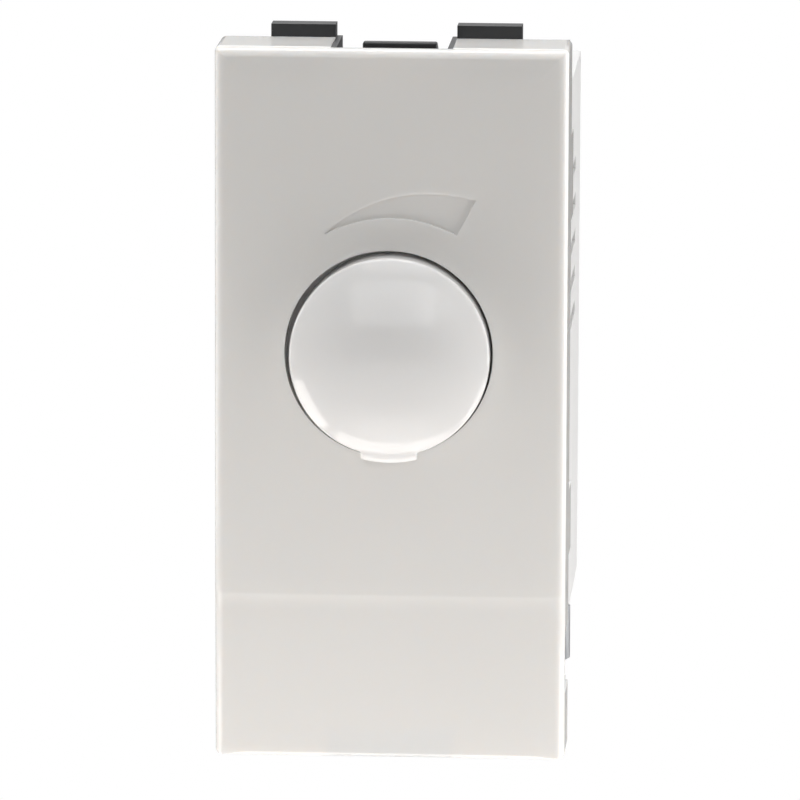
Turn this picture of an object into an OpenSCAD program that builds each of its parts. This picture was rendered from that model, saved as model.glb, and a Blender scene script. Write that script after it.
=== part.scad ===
// Rotary dimmer insert, one module wide, for a snap-in wiring frame.
// Millimetres. The face looks toward -Y, +X is right, +Z is up.
// The origin is the centre of the plane that seats on the supporting frame.

/* [Front cover] */
// Width of the cover
cover_w = 22; // [20:0.5:30]
// Height of the cover
cover_h = 45; // [42:0.5:60]
// Depth of the cover's walls, front face to rear edge
cover_depth = 5.3; // [4.6:0.1:8]
// Thickness of the cover's front plate
front_t = 1.8; // [1.4:0.1:2.2]
// Thickness of the cover's side, top and bottom walls
cover_wall = 1.4; // [1:0.1:2]
// Rounding of the cover's front edges
edge_r = 0.7; // [0.3:0.1:1.2]
// Height of the lower band, below the crease
band_h = 10.5; // [6:0.5:14]
// How far the lower band leans back at its bottom edge
band_lean = 0.3; // [0.1:0.05:0.5]
// Width of the notch in the top and bottom walls
notch_w = 7.6; // [7:0.2:9]

/* [Knob] */
// Diameter of the knob
knob_d = 12.5; // [10:0.5:14]
// Height of the knob's axis above the middle of the face
knob_z = 3.3; // [1:0.1:5]
// How far the knob's rim stands out of the face
rim_proud = 1.1; // [0.8:0.1:2]
// Rise of the dome above the rim
dome_h = 1.9; // [1:0.1:3]
// Gap between the knob and its hole, at the radius
knob_gap = 0.25; // [0.15:0.05:0.5]
// Turn of the knob, stop to stop, in degrees
knob_turn = 300; // [240:10:310]

/* [Clip frame] */
// Thickness of the clip frame's plate
frame_t = 1.5; // [1.2:0.1:2]
// Height of the stop horns above the cover
horn_rise = 0.8; // [0.5:0.1:1.2]
// Width of each stop horn
horn_w = 4.05; // [3:0.05:5]
// Thickness of the supporting frame that the latches grip
support_t = 1.8; // [1.2:0.1:2]
// Height of the supporting frame's window
window_h = 42.6; // [40:0.2:57.6]

/* [Rear housing] */
// Width of the rear housing
housing_w = 20.6; // [19.4:0.2:28]
// Height of the rear housing
housing_h = 35; // [34:0.5:36]
// Depth of the rear housing behind the seat
housing_d = 31; // [30.5:0.5:40]
// Wall of the rear housing
housing_wall = 1.3; // [1:0.1:1.6]
// Thickness of the rear housing's back wall
back_t = 1.4; // [1.2:0.1:2]

/* [Terminals] */
// Spacing of the terminals
pitch = 6.2; // [6.2:0.1:7]
// Diameter of the wire entries
wire_d = 3.4; // [2.8:0.1:3.6]
// Thread diameter of the terminal screws
screw_d = 3; // [2.5:0.5:3]
// Head diameter of the terminal screws
head_d = 4; // [3.6:0.1:4.4]
// Travel of the rising clamps
clamp_travel = 3; // [2:0.5:3]

/* [Circuit] */
// Thickness of the circuit board
board_t = 1.6; // [1:0.2:2]
// Gap between the seat and the circuit board
board_y = 6; // [5.8:0.1:7]
// Length of the fuse
fuse_l = 20; // [15:1:20]
// Diameter of the fuse's end caps
fuse_d = 5.2; // [4.5:0.1:5.4]

/* [Hidden] */
$fn = 64;
eps = 0.01;
// Running clearance, at the radius, of a pin or shaft in its bore
run_fit = 0.05;
// Loose clearance between moulded pieces
slip = 0.15;

// Depths, from front to back
y_seat = 0;
y_cover_back = -frame_t;
y_face = y_cover_back - cover_depth;
y_plate_back = y_face + front_t;
y_rim = y_face - rim_proud;
y_apex = y_rim - dome_h;
y_board_back = board_y + board_t;
y_inner_back = housing_d - back_t;

// Cover
half_w = cover_w / 2;
half_h = cover_h / 2;
in_half_w = half_w - cover_wall;
in_half_h = half_h - cover_wall;
crease_z = band_h - half_h;
notch_skin = 0.6;
notch_floor = half_h - 1.9;
// Snap legs on each side of the cover: [height of the middle, length along Z]
cover_legs = [[13.8, 5.4], [-8.2, 4.2]];
leg_t = 0.8;
leg_reach = 1.6;
leg_hook = 0.35;
// Window in each side of the cover where the side spring shows
side_window = [-18.3, -14.5];

// Wedge-shaped increase mark, concentric with the knob
mark_r = knob_d / 2 + 2.35;
mark_rise = 2.5;
mark_angle = 28.5;
mark_depth = 0.15;
mark_steps = 24;

// Knob and its shaft
knob_r = knob_d / 2;
hole_r = knob_r + knob_gap;
dome_r = (knob_r * knob_r + dome_h * dome_h) / (2 * dome_h);
flange_r = hole_r + 0.8;
flange_t = 0.85;
y_flange = y_plate_back + slip;
y_knob_back = y_flange + flange_t;
skirt_t = 1;
boss_r = 4.4;
nib_w = 3.5;
nib_proud = 0.42;
nib_t = 0.66;
shaft_r = 3;
shaft_flat = 1.5;
y_shaft_tip = y_rim - 0.1;
pilot_r = 1.2;

// Potentiometer, hung on the clip frame's plate
bush_r = 3.5;
bush_len = 1.8;
nut_af = 9.2;
nut_t = 1.5;
can_r = 6;
can_t = 0.45;
can_d = 5.2;
y_can_back = can_d;
base_t = 1.2;
y_base = y_can_back - base_t;
track_t = 0.2;
track_r = [3.4, 4.9];
rotor_r = 4.7;
rotor_y = [1.4, 2.5];
ring_r = 3.9;
ring_y = [can_t + 0.1, can_t + 0.6];

// Clip frame
frame_w = cover_w - 0.4;
frame_h = cover_h - 0.4;
horn_z = half_h + horn_rise;
horn_x = notch_w / 2;
lip_t = 0.35;
relief = 0.2;
seat_z = window_h / 2;

// Latches: a hook behind the supporting frame, swung on a pin in two ears
hook_half_w = 2.35;
hook_y = support_t + 0.1;
hook_z = seat_z + 0.45;
pivot_y = 8;
pivot_z = housing_h / 2 + 1.1;
pin_r = 0.5;
eye_r = 0.9;
ear_x = [hook_half_w + 0.25, hook_half_w + 1.25];

// Rear housing
hw = housing_w / 2;
hh = housing_h / 2;
ihw = hw - housing_wall;
ihh = hh - housing_wall;
// Snap hooks on each side of the housing: [height of the middle, length along Z]
hook_slot = [[9, 4], [-3, 4]];
snap_out = min(in_half_w - 0.05, hw - 0.2);
snap_x = [snap_out - 0.65, snap_out];
rib_t = 0.8;

// Terminals: the screw tip bears on a fixed tongue and draws the clamp back
cage_w = 5;
cage_wall = 0.7;
cage_l = 5;
cage_nut = 1.6;
cage_z = -ihh + 1 + cage_l / 2;
tongue_t = 0.8;
tongue_w = 3.2;
y_head_back = y_inner_back - 0.2;
head_t = 1.9;
y_head = y_head_back - head_t;
y_tongue_back = y_head - clamp_travel - cage_nut - 0.3;
y_tongue = y_tongue_back - tongue_t;
wire_gap = wire_d + 0.2;
y_cage = y_tongue - wire_gap - cage_wall;
y_cage_nut = y_tongue_back + 0.15;
y_wire = y_tongue - wire_gap / 2;
tongue_top = cage_z + cage_l / 2 + 1.2;

// Fuse and its drawer, top right, sliding out of the back
fuse_x = ihw - 3.5;
fuse_z = ihh - 3.5;
fuse_y = y_inner_back - 0.8 - fuse_l;
fuse_r = fuse_d / 2;
cap_l = 5.2;
drawer_half = 3.2;

// Choke, top left
choke_x = 5 - ihw;
choke_z = ihh - 5.1;
choke_r = [2.3, 4.2];
choke_l = 4.6;
wire_r = 0.6;
choke_y = y_board_back + 0.9 + wire_r;
turns = 15;

// Suppression capacitor, under the choke
film_x = [-8.6, 3.4];
film_z = [0.2, 5.2];
film_y = [y_board_back + 0.3, y_board_back + 12];

// Level trimmer, right, with a spindle to the back wall
trim_x = 6.3;
trim_z = 2.9;
trim_half = 2.3;
trim_t = 3.6;
spindle_r = 1.2;

// Triac on its heat sink, above the terminals
tri_half_w = 5;
tri_y = [12.4, 21.4];
tab_end = 27.8;
tri_hole_y = 24.8;
sink_z = [tongue_top + 1.4, tongue_top + 2.9];
pad_t = 0.2;
tab_t = 1.3;
tri_t = 4.4;
tab_z = sink_z[1] + pad_t;

// ---- Helpers ----

// A box between two corners, each axis as [low, high]
module block(x, y, z) {
    translate([x[0], y[0], z[0]]) cube([x[1] - x[0], y[1] - y[0], z[1] - z[0]]);
}

// A round bar along Y
module rod_y(r, y, x = 0, z = 0) {
    translate([x, y[1], z]) rotate([90, 0, 0]) cylinder(r = r, h = y[1] - y[0]);
}

// A round bar along X
module rod_x(r, x, y, z) {
    translate([x[0], y, z]) rotate([0, 90, 0]) cylinder(r = r, h = x[1] - x[0]);
}

// A round bar along Z
module rod_z(r, z, x, y) {
    translate([x, y, z[0]]) cylinder(r = r, h = z[1] - z[0]);
}

// An outline in X and Z, drawn out along Y
module along_y(y) {
    translate([0, y[1], 0]) rotate([90, 0, 0]) linear_extrude(y[1] - y[0]) children();
}

// An outline in Y and Z, drawn out along X
module along_x(x) {
    translate([x[0], 0, 0]) rotate([90, 0, 90]) linear_extrude(x[1] - x[0]) children();
}

// An outline in X and Y, drawn out along Z
module along_z(z) {
    translate([0, 0, z[0]]) linear_extrude(z[1] - z[0]) children();
}

module both_sides() {
    children();
    mirror([1, 0, 0]) children();
}

module both_ends() {
    children();
    mirror([0, 0, 1]) children();
}

// The quarter-round waste at a corner of an outline, whose corner is at the origin
module corner_waste(r) {
    difference() {
        translate([-eps, -eps]) square(r + eps);
        translate([r, r]) circle(r);
    }
}

// ---- Front cover and knob ----

// Side profile of the cover: flat face, then a lower band that leans back
module cover_side() {
    difference() {
        polygon([
            [y_face, half_h], [y_face, crease_z], [y_face + band_lean, -half_h],
            [y_cover_back, -half_h], [y_cover_back, half_h]
        ]);
        translate([y_face, half_h]) mirror([0, 1]) corner_waste(edge_r);
        translate([y_face + band_lean, -half_h]) corner_waste(edge_r);
    }
}

// Plan profile of the cover: square at the back, rounded at the front corners
module cover_plan() {
    difference() {
        translate([-half_w, y_face]) square([cover_w, cover_depth]);
        translate([-half_w, y_face]) corner_waste(edge_r);
        translate([half_w, y_face]) mirror([1, 0]) corner_waste(edge_r);
    }
}

// Outline of the increase mark: its outer radius grows from one end to the other
module mark_outline() {
    spread = [for (i = [0 : mark_steps]) i / mark_steps];
    bottom = [for (t = spread)
        let (a = mark_angle * (2 * t - 1))
        [mark_r * sin(a), mark_r * cos(a)]];
    top = [for (i = [mark_steps : -1 : 1])
        let (t = i / mark_steps, a = mark_angle * (2 * t - 1), r = mark_r + mark_rise * t)
        [r * sin(a), r * cos(a)]];
    translate([0, knob_z]) polygon(concat(bottom, top));
}

module cover_shell() {
    difference() {
        intersection() {
            along_x([-half_w, half_w]) cover_side();
            along_z([-half_h, half_h]) cover_plan();
        }
        block([-in_half_w, in_half_w], [y_plate_back, y_seat], [-in_half_h, in_half_h]);
        rod_y(hole_r, [y_face - 1, y_seat], 0, knob_z);
        along_y([y_face - 1, y_face + mark_depth]) mark_outline();
        both_ends() block([-horn_x, horn_x], [y_face + notch_skin, y_seat], [notch_floor, half_h + 1]);
        both_sides() block([in_half_w - 1, half_w + 1], [y_face + 1, y_seat], side_window);
    }
}

// A springy leg of the cover, hooked behind the clip frame
module cover_leg(leg) {
    z = [leg[0] - leg[1] / 2, leg[0] + leg[1] / 2];
    block([half_w - leg_t, half_w], [y_cover_back - 0.5, leg_reach], z);
    block([half_w - leg_t - leg_hook, half_w - leg_t + eps], [y_seat - relief + 0.05, leg_reach], z);
}

module front_cover() {
    color("whitesmoke") {
        cover_shell();
        both_sides() for (leg = cover_legs) cover_leg(leg);
    }
}

module knob_solid() {
    intersection() {
        rod_y(knob_r, [y_apex - 1, y_knob_back]);
        translate([0, y_apex + dome_r, 0]) sphere(dome_r);
    }
    rod_y(flange_r, [y_flange, y_knob_back]);
    intersection() {
        rod_y(knob_r + nib_proud, [y_rim + 0.02, y_rim + 0.02 + nib_t]);
        block([-nib_w / 2, nib_w / 2], [y_apex, y_seat], [-knob_r - 2, -knob_r + 1]);
    }
}

module knob() {
    y_roof = y_rim + 0.9;
    color("white") translate([0, 0, knob_z]) difference() {
        knob_solid();
        difference() {
            rod_y(knob_r - skirt_t, [y_roof, y_knob_back + 1]);
            rod_y(boss_r, [y_roof - 1, y_knob_back + 2]);
        }
        shaft_section(shaft_r + 0.02, shaft_flat + 0.02, [y_shaft_tip - 0.05, y_knob_back + 1]);
    }
}

// A D-shaped bar along Y, flat on top
module shaft_section(r, flat, y) {
    difference() {
        rod_y(r, y);
        block([-r - 1, r + 1], [y[0] - 1, y[1] + 1], [flat, r + 1]);
    }
}

// ---- Clip frame, latches and side springs ----

module frame_plate() {
    difference() {
        union() {
            block([-frame_w / 2, frame_w / 2], [y_cover_back, y_seat - relief], [-frame_h / 2, frame_h / 2]);
            both_ends() block([-frame_w / 2, frame_w / 2], [y_cover_back, y_seat], [seat_z + 0.05, frame_h / 2]);
            both_ends() both_sides()
                block([horn_x, horn_x + horn_w], [y_cover_back, y_seat], [frame_h / 2 - 1, horn_z]);
        }
        both_ends() block([-horn_x, horn_x], [y_cover_back - 1, y_seat + 1], [notch_floor - 0.2, horn_z + 1]);
        rod_y(bush_r + run_fit, [y_cover_back - 1, y_seat + 1], 0, knob_z);
        both_sides() for (leg = cover_legs)
            block(
                [half_w - leg_t - slip, half_w], [y_cover_back - 1, y_seat + 1],
                [leg[0] - leg[1] / 2 - slip, leg[0] + leg[1] / 2 + slip]);
        both_sides() for (s = hook_slot)
            block(
                [snap_x[0] - slip, snap_x[1] + slip], [y_cover_back - 1, y_seat + 1],
                [s[0] - s[1] / 2 - slip, s[0] + s[1] / 2 + slip]);
        both_sides() block([half_w - 0.75, half_w], [y_cover_back - 1, y_seat + 1], side_window);
    }
}

// Two ears that carry a latch's pin, seen from the side
module ear_side() {
    polygon([
        [y_seat - relief - eps, pivot_z - 0.95], [y_seat - relief - eps, pivot_z + 1.9],
        [pivot_y, pivot_z + 1.1], [pivot_y + 1.2, pivot_z + 0.7], [pivot_y + 1.2, pivot_z - 0.95]
    ]);
}

module ears() {
    both_sides() difference() {
        along_x(ear_x) ear_side();
        rod_x(pin_r + run_fit, [ear_x[0] - 1, ear_x[1] + 1], pivot_y, pivot_z);
    }
}

module clip_frame() {
    color("dimgray") {
        frame_plate();
        both_ends() ears();
        both_ends() both_sides()
            block([horn_x - lip_t, horn_x - 0.02], [y_face + notch_skin + 0.1, y_cover_back + 0.6], [notch_floor + 0.1, half_h - 0.05]);
        both_ends() both_sides()
            block([horn_x - lip_t, horn_x + 0.5], [y_cover_back, y_seat - relief], [notch_floor - 0.5, half_h - 0.05]);
    }
}

module latch_side() {
    polygon([
        [hook_y, hook_z], [hook_y + 0.7, hook_z], [pivot_y - 1.6, pivot_z + 1.3],
        [pivot_y, pivot_z + eye_r - 0.02], [pivot_y, pivot_z - eye_r + 0.3],
        [pivot_y - 2, pivot_z - 0.1], [hook_y + 1.3, hook_z - 2.2], [hook_y, hook_z - 2.2]
    ]);
}

module latch() {
    color("dimgray") {
        along_x([-hook_half_w, hook_half_w]) latch_side();
        rod_x(eye_r, [-hook_half_w, hook_half_w], pivot_y, pivot_z);
        rod_x(pin_r, [-ear_x[1], ear_x[1]], pivot_y, pivot_z);
    }
}

module upper_latch() latch();

module lower_latch() mirror([0, 0, 1]) latch();

// A bent leaf in each side window, hooked over the clip frame's edge
module side_springs() {
    z = [side_window[0] + 0.2, side_window[1] - 0.2];
    x = half_w - 0.65;
    color("silver") both_sides() {
        block([x, x + 0.3], [y_face + 1.2, 3.4], z);
        block([x - 0.85, x + eps], [y_face + 1.2, y_face + 1.5], z);
        along_z(z) polygon([[x, 3.4 - eps], [x + 0.3, 3.4 - eps], [x + 0.55, 4.3], [x + 0.3, 5.2], [x, 5.2], [x + 0.25, 4.3]]);
    }
}

// ---- Potentiometer ----

module shaft() {
    color("gainsboro") translate([0, 0, knob_z]) {
        shaft_section(shaft_r, shaft_flat, [y_shaft_tip, y_knob_back + 0.3]);
        difference() {
            rod_y(shaft_r, [y_knob_back + 0.3 - eps, rotor_y[1]]);
            difference() {
                rod_y(shaft_r + 1, [ring_y[0] - 0.02, ring_y[1] + 0.02]);
                rod_y(shaft_r - 0.5, [ring_y[0] - 1, ring_y[1] + 1]);
            }
        }
        rod_y(pilot_r, [rotor_y[1] - eps, y_can_back - 0.3]);
    }
}

module bushing() {
    color("goldenrod") difference() {
        union() {
            rod_y(bush_r, [y_cover_back - bush_len, can_t], 0, knob_z);
            rod_y(bush_r + 0.9, [y_seat - relief, y_seat], 0, knob_z);
        }
        rod_y(shaft_r + run_fit, [y_cover_back - bush_len - 1, can_t + 1], 0, knob_z);
    }
}

module bushing_nut() {
    color("goldenrod") translate([0, 0, knob_z]) difference() {
        along_y([y_cover_back - nut_t, y_cover_back]) circle(nut_af / sqrt(3), $fn = 6);
        rod_y(bush_r, [y_cover_back - nut_t - 1, y_cover_back + 1]);
    }
}

// Open ring that snaps into the shaft's groove
module retaining_ring() {
    color("gray") translate([0, 0, knob_z]) difference() {
        rod_y(ring_r, ring_y);
        rod_y(shaft_r - 0.48, [ring_y[0] - 1, ring_y[1] + 1]);
        block([-1.6, 1.6], [ring_y[0] - 1, ring_y[1] + 1], [0, ring_r + 1]);
    }
}

module pot_can() {
    color("silver") difference() {
        rod_y(can_r, [y_seat, y_can_back], 0, knob_z);
        rod_y(can_r - can_t, [can_t, y_can_back + 1], 0, knob_z);
        rod_y(bush_r, [y_seat - 1, y_can_back], 0, knob_z);
    }
}

module pot_base() {
    color("saddlebrown") difference() {
        rod_y(can_r - can_t, [y_base, y_can_back], 0, knob_z);
        rod_y(pilot_r + run_fit, [y_base - 1, y_can_back + 1], 0, knob_z);
    }
}

module track_outline() {
    difference() {
        circle(track_r[1]);
        circle(track_r[0]);
        polygon([[0, 0], [-2.4, -8], [2.4, -8]]);
    }
}

module resistance_track() {
    color("black") translate([0, 0, knob_z]) along_y([y_base - track_t, y_base]) track_outline();
}

module wiper_disc() {
    color("ivory") translate([0, 0, knob_z]) difference() {
        rod_y(rotor_r, rotor_y);
        rod_y(shaft_r, [rotor_y[0] - 1, rotor_y[1] + 1]);
    }
}

// Two sprung fingers that reach from the disc to the track
module wiper_spring() {
    color("gold") translate([0, 0, knob_z]) {
        block([-0.9, 0.9], [rotor_y[1], rotor_y[1] + 0.2], [3.15, 4.6]);
        for (x = [-0.6, 0.6])
            translate([x, 0, 0]) block([-0.2, 0.2], [rotor_y[1] + 0.2 - eps, y_base - track_t - run_fit], [3.9, 4.3]);
    }
}

module pot_pins() {
    color("silver") for (x = [-2.5, 0, 2.5])
        block([x - 0.4, x + 0.4], [y_can_back, y_board_back + 0.3], [knob_z - 4.6, knob_z - 4.1]);
}

// ---- Circuit board and housing ----

module circuit_board() {
    color("darkolivegreen") difference() {
        block([-ihw + 0.3, ihw - 0.3], [board_y, y_board_back], [-ihh + 0.3, ihh - 0.3]);
        for (x = [-2.5, 0, 2.5])
            block([x - 0.5, x + 0.5], [board_y - 1, y_board_back + 1], [knob_z - 4.7, knob_z - 4]);
        for (x = [-pitch, 0, pitch])
            block([x - 1, x + 1], [board_y - 1, y_board_back + 1], [tongue_top - 0.8, tongue_top + 0.1]);
        for (x = [-2.54, 0, 2.54])
            block([x - 0.5, x + 0.5], [board_y - 1, y_board_back + 1], [tab_z + 1.7, tab_z + 2.7]);
    }
}

module housing_shell() {
    difference() {
        block([-hw, hw], [y_seat - relief, housing_d], [-hh, hh]);
        block([-ihw, ihw], [y_seat - 1, y_inner_back], [-ihh, ihh]);
        for (x = [-pitch, 0, pitch]) {
            rod_y(head_d / 2 - 0.2, [y_inner_back - 1, housing_d + 1], x, cage_z);
            rod_z(wire_d / 2, [-hh - 1, -ihh + 0.5], x, y_wire);
        }
        block(
            [fuse_x - drawer_half - 0.1, fuse_x + drawer_half + 0.1], [y_inner_back - 1, housing_d + 1],
            [fuse_z - drawer_half - 0.1, fuse_z + drawer_half + 0.1]);
        rod_y(spindle_r + 0.08, [y_inner_back - 1, housing_d + 1], trim_x, trim_z);
        both_sides() for (leg = cover_legs)
            block(
                [half_w - leg_t - leg_hook - 0.1, hw + 1], [y_seat - 1, leg_reach + slip],
                [leg[0] - leg[1] / 2 - slip, leg[0] + leg[1] / 2 + slip]);
        both_sides() for (i = [0 : 4])
            block([ihw - 1, hw + 1], [12, 24], [1 + i * 2.4, 1.9 + i * 2.4]);
    }
}

module rear_housing() {
    color("gainsboro") {
        housing_shell();
        // walls between the terminals
        both_sides() block(
            [pitch / 2 - rib_t / 2, pitch / 2 + rib_t / 2], [y_cage - 0.6, y_inner_back + eps],
            [-ihh - eps, cage_z + cage_l / 2 + 0.3]);
        // collars that hold the screw heads
        for (x = [-pitch, 0, pitch]) difference() {
            rod_y(head_d / 2 + 0.62, [y_head + 0.05, y_inner_back + eps], x, cage_z);
            rod_y(head_d / 2 + slip, [y_head - 1, y_inner_back - eps], x, cage_z);
            rod_y(head_d / 2 - 0.2, [y_inner_back - 1, y_inner_back + 1], x, cage_z);
        }
        // ledges behind the board
        both_sides() both_ends()
            block([ihw - 0.8, ihw + eps], [y_board_back, y_board_back + 0.8], [ihh - 4, ihh + eps]);
        // hooks that snap through the clip frame
        both_sides() for (s = hook_slot) {
            z = [s[0] - s[1] / 2, s[0] + s[1] / 2];
            block([snap_x[0], snap_x[1]], [y_cover_back - 0.9, y_seat + 0.5], z);
            block([snap_x[0] - 0.5, snap_x[0] + eps], [y_cover_back - 0.9, y_cover_back - 0.1], z);
        }
        // rails that the heat sink slides on
        both_sides() block([ihw - 0.7, ihw + eps], [tri_y[0] - 1, y_inner_back + eps], [sink_z[0] - 0.8, sink_z[0]]);
    }
}

// ---- Terminals ----

// A rising clamp: a square loop around the tongue, threaded for the screw
module clamp_loop() {
    color("silver") difference() {
        block([-cage_w / 2, cage_w / 2], [y_cage, y_cage_nut + cage_nut], [cage_z - cage_l / 2, cage_z + cage_l / 2]);
        block(
            [-cage_w / 2 + cage_wall, cage_w / 2 - cage_wall], [y_cage + cage_wall, y_cage_nut],
            [cage_z - cage_l, cage_z + cage_l]);
        rod_y(screw_d / 2, [y_cage_nut - 1, y_cage_nut + cage_nut + 1], 0, cage_z);
    }
}

module left_clamp() translate([-pitch, 0, 0]) clamp_loop();

module centre_clamp() clamp_loop();

module right_clamp() translate([pitch, 0, 0]) clamp_loop();

module terminal_screw() {
    color("lightgray") translate([0, 0, cage_z]) {
        rod_y(screw_d / 2 - run_fit, [y_tongue_back + 0.05, y_head + eps]);
        difference() {
            rod_y(head_d / 2, [y_head, y_head_back]);
            block([-head_d, head_d], [y_head_back - 0.9, y_head_back + 1], [-0.35, 0.35]);
        }
    }
}

module left_screw() translate([-pitch, 0, 0]) terminal_screw();

module centre_screw() terminal_screw();

module right_screw() translate([pitch, 0, 0]) terminal_screw();

// Fixed contact plates, each with a strip that runs forward into the board
module terminal_tongues() {
    color("goldenrod") for (x = [-pitch, 0, pitch]) translate([x, 0, 0]) {
        block([-tongue_w / 2, tongue_w / 2], [y_tongue, y_tongue_back], [cage_z - cage_l / 2, tongue_top]);
        block([-tongue_w / 2, tongue_w / 2], [y_board_back + 0.5, y_tongue + eps], [tongue_top - 0.7, tongue_top]);
        block([-0.8, 0.8], [board_y, y_board_back + 0.6], [tongue_top - 0.7, tongue_top]);
    }
}

// ---- Fuse ----

module fuse_drawer() {
    color("gray") difference() {
        union() {
            block(
                [fuse_x - drawer_half, fuse_x + drawer_half], [y_inner_back - 0.2, housing_d + 0.3],
                [fuse_z - drawer_half, fuse_z + drawer_half]);
            block(
                [fuse_x - 2, fuse_x + 2], [fuse_y - 0.8, y_inner_back],
                [fuse_z - drawer_half, fuse_z - fuse_r]);
            block([fuse_x - 2, fuse_x + 2], [fuse_y - 0.8, fuse_y], [fuse_z - drawer_half, fuse_z - 0.8]);
        }
        block([fuse_x - 2, fuse_x + 2], [housing_d - 0.4, housing_d + 1], [fuse_z - 1.7, fuse_z - 0.7]);
    }
}

module fuse_glass() {
    color("lightcyan") difference() {
        rod_y(fuse_r - 0.15, [fuse_y + 0.4, fuse_y + fuse_l - 0.4], fuse_x, fuse_z);
        rod_y(fuse_r - 0.75, [fuse_y, fuse_y + fuse_l], fuse_x, fuse_z);
    }
}

module fuse_cap(y, back) {
    difference() {
        rod_y(fuse_r, [y, y + cap_l], fuse_x, fuse_z);
        rod_y(fuse_r - 0.15, back ? [y - 1, y + cap_l - 0.4] : [y + 0.4, y + cap_l + 1], fuse_x, fuse_z);
    }
}

module fuse_caps() {
    color("silver") {
        fuse_cap(fuse_y, false);
        fuse_cap(fuse_y + fuse_l - cap_l, true);
    }
}

module fuse_wire() {
    color("gray") rod_y(0.15, [fuse_y + 0.4, fuse_y + fuse_l - 0.4], fuse_x, fuse_z);
}

// A sprung fork that grips a fuse cap from both sides, with a strip to the board
module fuse_clip(y, strip_z) {
    leaf = [fuse_r + run_fit, fuse_r + run_fit + 0.3];
    color("goldenrod") {
        translate([fuse_x, 0, 0]) both_sides() block(leaf, y, [fuse_z - 1.6, strip_z + 0.2]);
        block([fuse_x - leaf[1], fuse_x + leaf[1]], y, [strip_z, strip_z + 0.25]);
        block([fuse_x - 1, fuse_x + 1], [y_board_back, y[0] + eps], [strip_z, strip_z + 0.25]);
    }
}

module front_fuse_clip() fuse_clip([fuse_y + 0.6, fuse_y + 4.4], fuse_z + fuse_r + 0.15);

module rear_fuse_clip() fuse_clip([fuse_y + fuse_l - 4.4, fuse_y + fuse_l - 0.6], fuse_z + fuse_r + 0.6);

// ---- Other parts on the board ----

module choke_core() {
    color("dimgray") difference() {
        rod_y(choke_r[1], [choke_y, choke_y + choke_l], choke_x, choke_z);
        rod_y(choke_r[0], [choke_y - 1, choke_y + choke_l + 1], choke_x, choke_z);
    }
}

// Turns of wire around the ring, each a square loop
module choke_winding() {
    gap = 0.05;
    color("peru") translate([choke_x, 0, choke_z]) for (i = [0 : turns - 1])
        rotate([0, 20 + i * 320 / (turns - 1), 0]) difference() {
            block(
                [choke_r[0] - wire_r, choke_r[1] + wire_r], [choke_y - wire_r, choke_y + choke_l + wire_r],
                [-wire_r / 2, wire_r / 2]);
            block(
                [choke_r[0] - gap, choke_r[1] + gap], [choke_y - gap, choke_y + choke_l + gap],
                [-wire_r, wire_r]);
        }
}

module film_capacitor() {
    color("gold") {
        block(film_x, film_y, film_z);
        for (x = [film_x[0] + 1.5, film_x[1] - 1.5])
            rod_y(0.3, [y_board_back, film_y[0] + eps], x, (film_z[0] + film_z[1]) / 2);
    }
}

module trimmer_body() {
    color("steelblue") difference() {
        block(
            [trim_x - trim_half, trim_x + trim_half], [y_board_back, y_board_back + trim_t],
            [trim_z - trim_half, trim_z + trim_half]);
        rod_y(1.5 + run_fit, [y_board_back + 1.2, y_board_back + trim_t + 1], trim_x, trim_z);
    }
}

// Adjuster with a long spindle, slotted at the back wall
module trimmer_spindle() {
    color("white") difference() {
        union() {
            rod_y(1.5, [y_board_back + 1.3, y_board_back + trim_t + 0.3], trim_x, trim_z);
            rod_y(spindle_r, [y_board_back + trim_t, housing_d - 0.3], trim_x, trim_z);
        }
        block([trim_x - 2, trim_x + 2], [housing_d - 1, housing_d + 1], [trim_z - 0.25, trim_z + 0.25]);
    }
}

module heat_sink() {
    color("silver") difference() {
        block([-ihw + 0.2, ihw - 0.2], [tri_y[0] - 0.6, tab_end + 0.8], sink_z);
        rod_z(1.5, [sink_z[0] - 1, sink_z[1] + 1], 0, tri_hole_y);
    }
}

module insulating_pad() {
    color("lightgray") difference() {
        block([-5.4, 5.4], [tri_y[0] - 0.3, tab_end + 0.3], [sink_z[1], tab_z]);
        rod_z(1.6, [sink_z[1] - 1, tab_z + 1], 0, tri_hole_y);
    }
}

module triac_tab() {
    color("silver") difference() {
        block([-tri_half_w, tri_half_w], [tri_y[0], tab_end], [tab_z, tab_z + tab_t]);
        rod_z(1.9, [tab_z - 1, tab_z + tab_t + 1], 0, tri_hole_y);
    }
}

module triac_body() {
    color("black") block([-tri_half_w, tri_half_w], tri_y, [tab_z + tab_t, tab_z + tri_t]);
}

module triac_legs() {
    color("silver") for (x = [-2.54, 0, 2.54])
        block([x - 0.4, x + 0.4], [board_y, tri_y[0]], [tab_z + 1.9, tab_z + 2.4]);
}

module triac_screw() {
    top = tab_z + tab_t;
    color("gray") difference() {
        union() {
            rod_z(1.5, [sink_z[0], top + eps], 0, tri_hole_y);
            rod_z(2.8, [top, top + 1.8], 0, tri_hole_y);
        }
        block([-3, 3], [tri_hole_y - 0.35, tri_hole_y + 0.35], [top + 0.9, top + 3]);
    }
}

module timing_capacitor() {
    color("firebrick") {
        block([-7.4, -3.2], [y_board_back + 0.3, y_board_back + 4.2], [-4.6, -2.4]);
        for (x = [-6.4, -4.2]) rod_y(0.25, [y_board_back, y_board_back + 0.4], x, -3.5);
    }
}

// A bead with a lead at each end, bent down to the board
module lead_bead(x, z, r, l) {
    y = y_board_back + r + 0.3;
    rod_x(r, [x - l / 2, x + l / 2], y, z);
    rod_x(0.25, [x - l / 2 - 0.9, x + l / 2 + 0.9], y, z);
    for (s = [-1, 1]) rod_y(0.25, [y_board_back, y + 0.2], x + s * (l / 2 + 0.7), z);
}

module trigger_diode() {
    color("royalblue") lead_bead(5, -1.6, 0.8, 3);
}

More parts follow.
